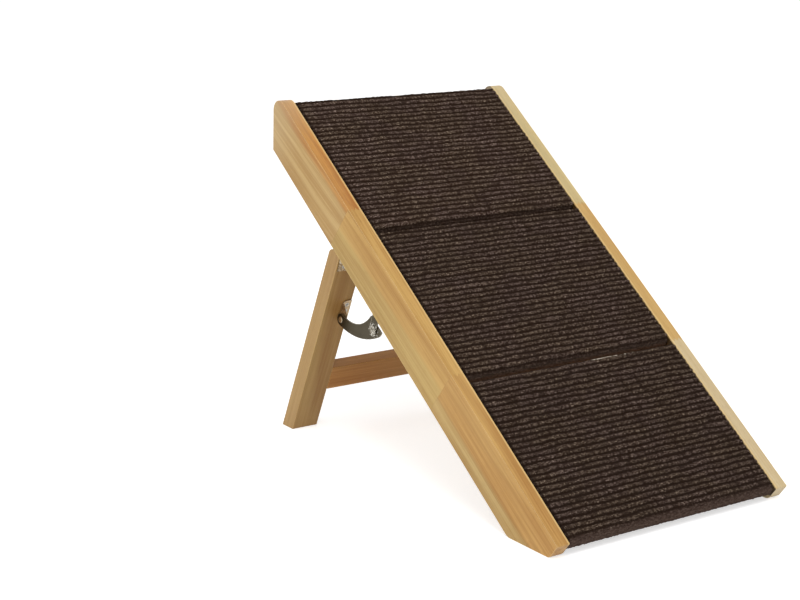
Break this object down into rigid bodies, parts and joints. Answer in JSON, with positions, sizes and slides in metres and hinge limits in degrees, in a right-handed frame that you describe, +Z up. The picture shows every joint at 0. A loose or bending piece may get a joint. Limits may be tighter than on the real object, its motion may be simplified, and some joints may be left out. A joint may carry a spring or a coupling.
{
  "type": "folding pet ramp",
  "caption": "Folding wooden pet ramp: carpeted boards between two side rails, on a hinged rear leg frame held by crescent stays.",
  "frame": {"origin": "on the floor, under the middle of the standing ramp's bounding box", "axes": "+X across the ramp, +Y from the low end to the high end, +Z up"},
  "size_m": [0.4, 0.6466, 0.4744],
  "materials": {
    "rail_wood": "clear satin varnish on laminated softwood",
    "leg_wood": "clear satin varnish on softwood",
    "board_ply": "bare plywood",
    "ribbed_carpet": "dark brown ribbed needle felt",
    "plated_steel": "nickel plated, smooth",
    "zinc_screw": "zinc plated",
    "beech_dowel": "bare beech"
  },
  "bodies": {
    "ramp": {"left_side_rail": "rail_wood", "right_side_rail": "rail_wood", "lower_board": "board_ply", "middle_board": "board_ply", "upper_board": "board_ply", "lower_carpet": "ribbed_carpet", "middle_carpet": "ribbed_carpet", "upper_carpet": "ribbed_carpet", "foot_crossbar": "rail_wood", "lower_seam_crossbar": "rail_wood", "upper_seam_crossbar": "rail_wood", "hinge_crossbar": "rail_wood", "top_crossbar": "rail_wood", "foot_dowel_left": "beech_dowel", "foot_dowel_right": "beech_dowel", "lower_seam_dowel_left": "beech_dowel", "lower_seam_dowel_right": "beech_dowel", "upper_seam_dowel_left": "beech_dowel", "upper_seam_dowel_right": "beech_dowel", "hinge_dowel_left": "beech_dowel", "hinge_dowel_right": "beech_dowel", "top_dowel_left": "beech_dowel", "top_dowel_right": "beech_dowel", "left_frame_leaf": "plated_steel", "left_frame_screw_1": "zinc_screw", "left_frame_screw_2": "zinc_screw", "left_hinge_pin": "plated_steel", "left_stay_stud": "plated_steel", "right_frame_leaf": "plated_steel", "right_frame_screw_1": "zinc_screw", "right_frame_screw_2": "zinc_screw", "right_hinge_pin": "plated_steel", "right_stay_stud": "plated_steel"},
    "leg_frame": {"left_leg": "leg_wood", "right_leg": "leg_wood", "leg_stretcher": "leg_wood", "stretcher_dowel_left": "beech_dowel", "stretcher_dowel_right": "beech_dowel", "left_leg_leaf": "plated_steel", "left_leg_screw_1": "zinc_screw", "left_leg_screw_2": "zinc_screw", "left_stay_bracket": "plated_steel", "left_bracket_screw_1": "zinc_screw", "left_bracket_screw_2": "zinc_screw", "left_leg_rivet": "plated_steel", "right_leg_leaf": "plated_steel", "right_leg_screw_1": "zinc_screw", "right_leg_screw_2": "zinc_screw", "right_stay_bracket": "plated_steel", "right_bracket_screw_1": "zinc_screw", "right_bracket_screw_2": "zinc_screw", "right_leg_rivet": "plated_steel"},
    "left_crescent_arm": {"left_crescent_arm": "plated_steel", "left_middle_rivet": "plated_steel"},
    "left_stay_link": {"left_stay_link": "plated_steel"},
    "right_crescent_arm": {"right_crescent_arm": "plated_steel", "right_middle_rivet": "plated_steel"},
    "right_stay_link": {"right_stay_link": "plated_steel"}
  },
  "joints": [
    {"name": "leg_fold", "type": "hinge", "parent": "ramp", "child": "leg_frame", "pos_m": [0, 0.14975, 0.27272], "axis": [-1, 0, 0], "range_deg": [0, 76.2]},
    {"name": "left_arm_pivot", "type": "hinge", "parent": "leg_frame", "child": "left_crescent_arm", "pos_m": [-0.17515, 0.17954, 0.18119], "axis": [1, 0, 0], "range_deg": [0, 76.2]},
    {"name": "left_link_pivot", "type": "hinge", "parent": "ramp", "child": "left_stay_link", "pos_m": [-0.17695, 0.06974, 0.27701], "axis": [-1, 0, 0], "range_deg": [0, 76.2]},
    {"name": "right_arm_pivot", "type": "hinge", "parent": "leg_frame", "child": "right_crescent_arm", "pos_m": [0.17515, 0.17954, 0.18119], "axis": [1, 0, 0], "range_deg": [0, 76.2]},
    {"name": "right_link_pivot", "type": "hinge", "parent": "ramp", "child": "right_stay_link", "pos_m": [0.17695, 0.06974, 0.27701], "axis": [-1, 0, 0], "range_deg": [0, 76.2]}
  ],
  "couplings": [
    {"joint": "left_arm_pivot", "follows": "leg_fold", "ratio": 1},
    {"joint": "left_link_pivot", "follows": "leg_fold", "ratio": 1},
    {"joint": "right_arm_pivot", "follows": "leg_fold", "ratio": 1},
    {"joint": "right_link_pivot", "follows": "leg_fold", "ratio": 1}
  ]
}
